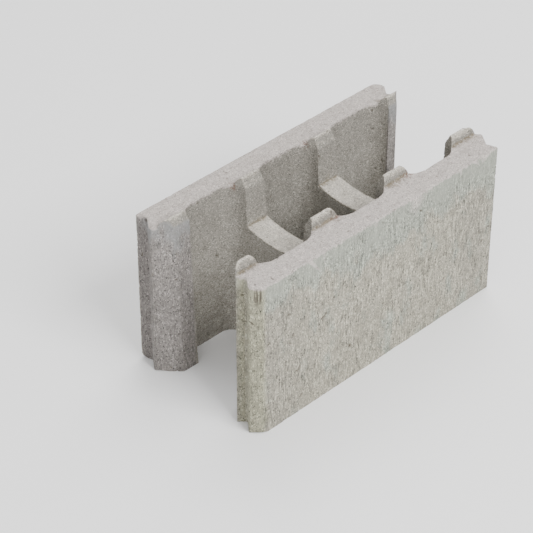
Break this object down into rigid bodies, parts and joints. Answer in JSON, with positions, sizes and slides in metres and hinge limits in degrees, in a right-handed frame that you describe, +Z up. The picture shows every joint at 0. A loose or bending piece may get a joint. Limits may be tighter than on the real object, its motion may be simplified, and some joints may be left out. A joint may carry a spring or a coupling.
{
  "type": "interlocking concrete block",
  "caption": "Mortarless hollow concrete wall block with face shells, saddle-topped cross webs, open half-cell ends, tongue-and-groove shell ends and raised locating lugs.",
  "frame": {"origin": "middle of the underside", "axes": "+X along the block's length, +Y across it from shell to shell, +Z up as it is laid"},
  "size_m": [0.395, 0.195, 0.21],
  "materials": {
    "concrete": "rough vibrated-pressed concrete"
  },
  "bodies": {
    "root": {"block": "concrete"}
  },
  "joints": []
}
